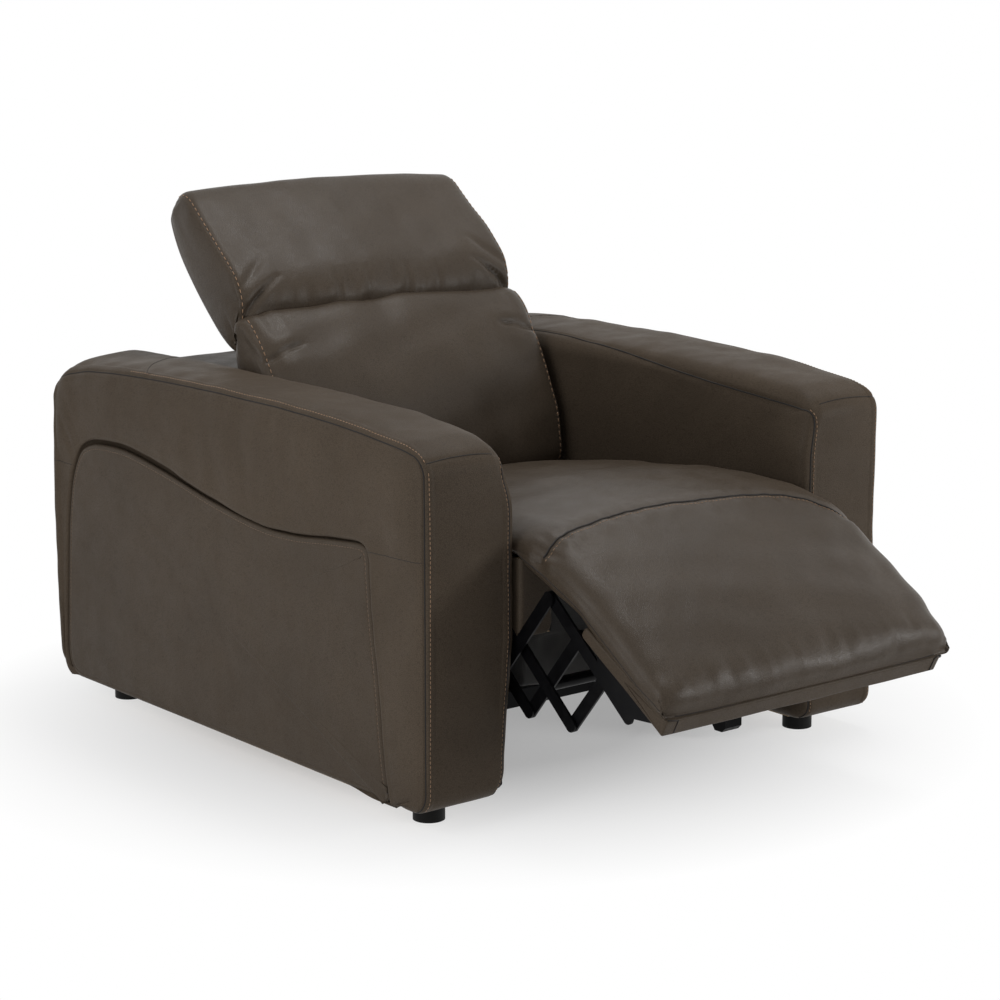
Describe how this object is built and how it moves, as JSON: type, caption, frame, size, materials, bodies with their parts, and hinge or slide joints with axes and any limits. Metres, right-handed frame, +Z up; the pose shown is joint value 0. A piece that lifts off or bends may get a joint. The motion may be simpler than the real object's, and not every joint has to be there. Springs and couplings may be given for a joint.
{
  "type": "power recliner seat",
  "caption": "Upholstered power recliner seat: wide leather arms, sliding seat, reclining back, tilting headrest and folding footrest.",
  "frame": {"origin": "on the floor, midway between the four feet", "axes": "X across the chair, -Y the way the sitter faces, +Z up"},
  "size_m": [0.99, 1.4662, 0.9243],
  "materials": {
    "leather": "semi-matte grained upholstery leather, dark taupe brown",
    "leather_panel": "semi-matte grained upholstery leather, dark taupe brown",
    "leather_cushion": "softer upholstery leather with a light sheen, dark taupe brown",
    "black_cloth": "black dust cloth",
    "wood": "plain plywood",
    "webbing": "woven elastic webbing",
    "foot_black": "black moulded plastic",
    "black_steel": "black powder coat",
    "zinc_steel": "bright zinc plate",
    "black_plastic": "fine-textured black plastic",
    "white_plastic": "natural nylon",
    "button_silver": "satin silver plastic"
  },
  "bodies": {
    "base": {"arm_cover_left": "leather", "arm_cover_right": "leather", "arm_frame_left": "wood", "arm_frame_right": "wood", "arm_side_panel_left": "leather_panel", "arm_side_panel_right": "leather_panel", "arm_base_board_left": "wood", "arm_base_board_right": "wood", "foot_front_left": "foot_black", "foot_front_right": "foot_black", "foot_rear_left": "foot_black", "foot_rear_right": "foot_black", "base_rail_left": "black_steel", "base_rail_right": "black_steel", "cross_member_front": "black_steel", "cross_member_rear": "black_steel", "slide_rail_left": "zinc_steel", "slide_rail_right": "zinc_steel", "drive_motor": "black_plastic", "drive_spindle": "zinc_steel", "rear_panel": "black_cloth", "power_inlet": "black_plastic", "control_plate": "black_plastic"},
    "seat": {"seat_frame": "wood", "seat_webbing": "webbing", "seat_cushion": "leather_cushion", "seat_front_panel": "black_cloth", "seat_facing_left": "leather", "seat_facing_right": "leather", "side_plate_left": "black_steel", "side_plate_right": "black_steel", "runner_left": "zinc_steel", "runner_right": "zinc_steel", "drive_nut": "white_plastic"},
    "footrest": {"footrest_board": "leather_panel", "footrest_pad": "leather_cushion", "footrest_bar_left": "black_steel", "footrest_bar_right": "black_steel"},
    "drive_links": {"drive_link_left": "black_steel", "drive_link_right": "black_steel", "cross_tube": "black_steel"},
    "rear_links": {"rear_link_left": "black_steel", "rear_link_right": "black_steel"},
    "mid_links": {"mid_link_left": "black_steel", "mid_link_right": "black_steel"},
    "front_links": {"front_link_left": "black_steel", "front_link_right": "black_steel"},
    "back": {"back_frame": "wood", "back_cushion": "leather_cushion", "back_cover": "leather_panel", "back_bracket_left": "black_steel", "back_bracket_right": "black_steel", "headrest_stays": "black_steel"},
    "headrest": {"headrest_board": "wood", "headrest_cushion": "leather_cushion", "headrest_hinges": "black_steel"},
    "button_open": {"button_open": "button_silver"},
    "button_close": {"button_close": "button_silver"}
  },
  "joints": [
    {"name": "seat_slide", "type": "slide", "parent": "base", "child": "seat", "axis": [0, -1, 0], "range_m": [-0.08, 0.0405]},
    {"name": "footrest_hinge", "type": "hinge", "parent": "seat", "child": "footrest", "pos_m": [0, -0.633, 0.379], "axis": [-1, 0, 0], "range_deg": [-55.3, 28.1]},
    {"name": "drive_link_hinge", "type": "hinge", "parent": "seat", "child": "drive_links", "pos_m": [0, -0.55699, 0.28614], "axis": [-1, 0, 0], "range_deg": [-55.3, 28.1]},
    {"name": "rear_link_hinge", "type": "hinge", "parent": "seat", "child": "rear_links", "pos_m": [0, -0.51474, 0.23451], "axis": [-1, 0, 0], "range_deg": [-55.3, 28.1]},
    {"name": "mid_link_hinge", "type": "hinge", "parent": "footrest", "child": "mid_links", "pos_m": [0, -0.69205, 0.32803], "axis": [-1, 0, 0], "range_deg": [-28.1, 55.3]},
    {"name": "front_link_hinge", "type": "hinge", "parent": "footrest", "child": "front_links", "pos_m": [0, -0.75109, 0.27707], "axis": [-1, 0, 0], "range_deg": [-28.1, 55.3]},
    {"name": "back_recline", "type": "hinge", "parent": "seat", "child": "back", "pos_m": [0, 0.15, 0.32], "axis": [-1, 0, 0], "range_deg": [0, 25]},
    {"name": "headrest_tilt", "type": "hinge", "parent": "back", "child": "headrest", "pos_m": [0, 0.245, 0.69], "axis": [1, 0, 0], "range_deg": [-40, 12]},
    {"name": "button_open_press", "type": "slide", "parent": "base", "child": "button_open", "axis": [-1, 0, 0], "range_m": [0, 0.0015], "stiffness_N_per_m": 600},
    {"name": "button_close_press", "type": "slide", "parent": "base", "child": "button_close", "axis": [-1, 0, 0], "range_m": [0, 0.0015], "stiffness_N_per_m": 600}
  ],
  "couplings": [
    {"joint": "footrest_hinge", "follows": "seat_slide", "rad_per_m": 12.043},
    {"joint": "drive_link_hinge", "follows": "seat_slide", "rad_per_m": 12.043},
    {"joint": "rear_link_hinge", "follows": "seat_slide", "rad_per_m": 12.043},
    {"joint": "mid_link_hinge", "follows": "seat_slide", "rad_per_m": -12.043},
    {"joint": "front_link_hinge", "follows": "seat_slide", "rad_per_m": -12.043}
  ]
}
